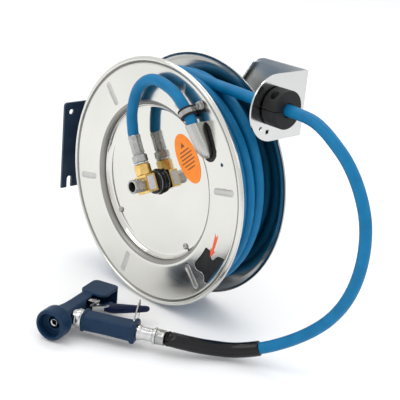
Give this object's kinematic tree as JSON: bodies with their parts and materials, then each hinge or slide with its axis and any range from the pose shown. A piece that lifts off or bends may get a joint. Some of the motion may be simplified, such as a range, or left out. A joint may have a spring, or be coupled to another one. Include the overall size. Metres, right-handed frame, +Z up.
{
  "type": "spring-retracting hose reel",
  "caption": "Open wall-mounted hose reel with polished discs, a spring-driven drum, a roller-free guide arm with a hose bumper, and a free hose ending in a hand spray gun.",
  "frame": {"origin": "middle of the wall plate's back face, at the height of the axle", "axes": "+X away from the wall, +Y along the axle from the front disc to the rear disc, +Z up"},
  "size_m": [0.6023, 0.3449, 0.3935],
  "materials": {
    "stainless": "bright polished stainless sheet with faint brushing",
    "frame_paint": "dark slate powder coat, satin",
    "steel": "plain zinc-plated steel, satin",
    "plated_steel": "bright nickel plating, semi-gloss",
    "brass": "machined brass, semi-gloss",
    "chrome": "polished chrome",
    "hose_blue": "smooth blue hose cover, semi-gloss",
    "rubber": "moulded black rubber, satin",
    "gun_cover": "dark navy rubber cover, satin",
    "nylon": "black nylon"
  },
  "bodies": {
    "frame": {"guide_bracket": "stainless", "wall_plate": "frame_paint", "frame_arm": "frame_paint", "arm_bolt_1": "steel", "arm_bolt_2": "steel", "guide_bolt_1": "steel", "guide_bolt_2": "steel", "axle": "steel", "axle_washer": "steel", "axle_nut": "steel", "pawl_pin": "steel", "pawl_spring": "steel", "mainspring": "steel", "bumper_screw_1": "steel", "bumper_screw_2": "steel", "hose_ferrule": "plated_steel", "swivel_connector": "chrome", "swivel_ring": "chrome", "hose_run": "hose_blue", "bumper_upper": "rubber", "bumper_lower": "rubber", "hose_sleeve": "rubber", "guide_bush": "nylon"},
    "drum": {"front_disc": "stainless", "recess_plate": "stainless", "plate_screw_1": "steel", "plate_screw_2": "steel", "plate_screw_3": "steel", "plate_screw_4": "steel", "drum_core": "steel", "rear_disc": "stainless", "spring_case": "steel", "spring_case_cover": "steel", "wound_hose": "hose_blue", "front_hub_bush": "nylon", "rear_hub_bush": "nylon", "ratchet_wheel": "steel", "swivel_block": "brass", "swivel_seat": "steel", "branch_adapter": "brass", "branch_collar": "chrome", "branch_nut": "plated_steel", "loop_ferrule": "plated_steel", "hose_loop": "hose_blue", "clamp_lining": "rubber", "hose_clamp": "stainless", "clamp_bolt": "steel", "scoop": "stainless"},
    "inlet": {"inlet_nipple": "plated_steel"},
    "pawl": {"pawl": "steel"},
    "gun": {"gun_valve_body": "chrome", "gun_collar": "chrome", "gun_grip": "gun_cover", "gun_shell": "gun_cover", "nozzle_guard": "gun_cover", "nozzle": "chrome", "lever_pin": "steel"},
    "lever": {"trigger_lever": "gun_cover"},
    "stem": {"valve_stem": "steel"},
    "hold_down": {"hold_down_wire": "steel"}
  },
  "joints": [
    {"name": "drum_spin", "type": "hinge", "parent": "frame", "child": "drum", "pos_m": [0.2225, -0.057, 0], "axis": [0, 1, 0], "continuous": true},
    {"name": "inlet_swivel", "type": "hinge", "parent": "drum", "child": "inlet", "pos_m": [0.2225, -0.057, 0], "axis": [0, 1, 0], "continuous": true},
    {"name": "pawl_pivot", "type": "hinge", "parent": "frame", "child": "pawl", "pos_m": [0.1765, 0.038, 0.062], "axis": [0, -1, 0], "range_deg": [0, 20], "stiffness_Nm_per_rad": 0.05},
    {"name": "gun_swivel", "type": "hinge", "parent": "frame", "child": "gun", "pos_m": [0.3406, -0.16669, -0.1665], "axis": [0.871, 0.4912, 0], "continuous": true},
    {"name": "trigger", "type": "hinge", "parent": "gun", "child": "lever", "pos_m": [0.24274, -0.16951, -0.1665], "axis": [0, 0, -1], "range_deg": [0, 12], "stiffness_Nm_per_rad": 1},
    {"name": "valve_slide", "type": "slide", "parent": "gun", "child": "stem", "axis": [-0.3502, 0.9367, 0], "range_m": [0, 0.0046]},
    {"name": "hold_down", "type": "hinge", "parent": "gun", "child": "hold_down", "pos_m": [0.33527, -0.17143, -0.1665], "axis": [0, 0, -1], "range_deg": [0, 60]}
  ],
  "couplings": [
    {"joint": "valve_slide", "follows": "trigger", "m_per_rad": 0.021}
  ]
}
